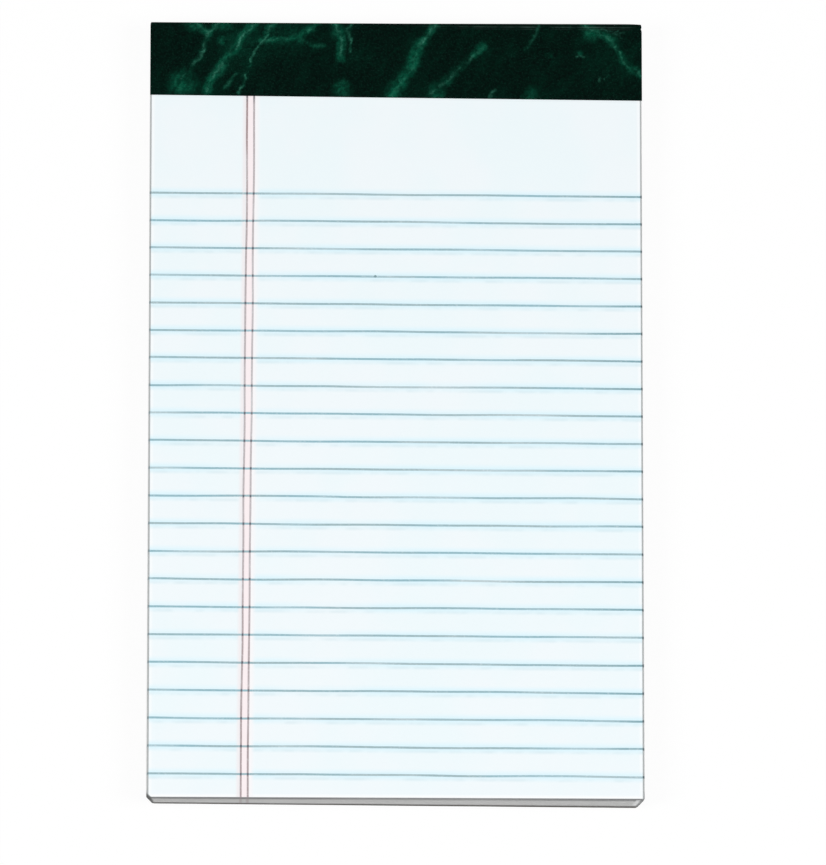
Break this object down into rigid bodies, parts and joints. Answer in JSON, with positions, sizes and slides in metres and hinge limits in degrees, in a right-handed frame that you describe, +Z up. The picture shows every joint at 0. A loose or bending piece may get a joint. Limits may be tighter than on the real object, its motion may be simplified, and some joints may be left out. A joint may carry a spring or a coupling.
{
  "type": "legal pad",
  "caption": "Top-bound junior writing pad: ruled white sheets with a double margin line on a chipboard back, stitched and wrapped at the head in dark green marbled tape.",
  "frame": {"origin": "under the middle of the pad, on the surface that it lies on", "axes": "+X across the page to the right, +Y up the page towards the bound head, +Z up out of the writing face"},
  "size_m": [0.127, 0.2038, 0.0084],
  "materials": {
    "paper": "uncoated white writing paper",
    "chipboard": "plain grey chipboard",
    "marbled_tape": "dark green marbled print, low sheen",
    "wire": "galvanised flat wire",
    "rule_ink": "pale blue printed line",
    "margin_ink": "pale red printed line"
  },
  "bodies": {
    "root": {"ruled_sheets": "paper", "backing_board": "chipboard", "binding_tape": "marbled_tape", "wire_stitches": "wire", "ruled_lines": "rule_ink", "margin_lines": "margin_ink"}
  },
  "joints": []
}
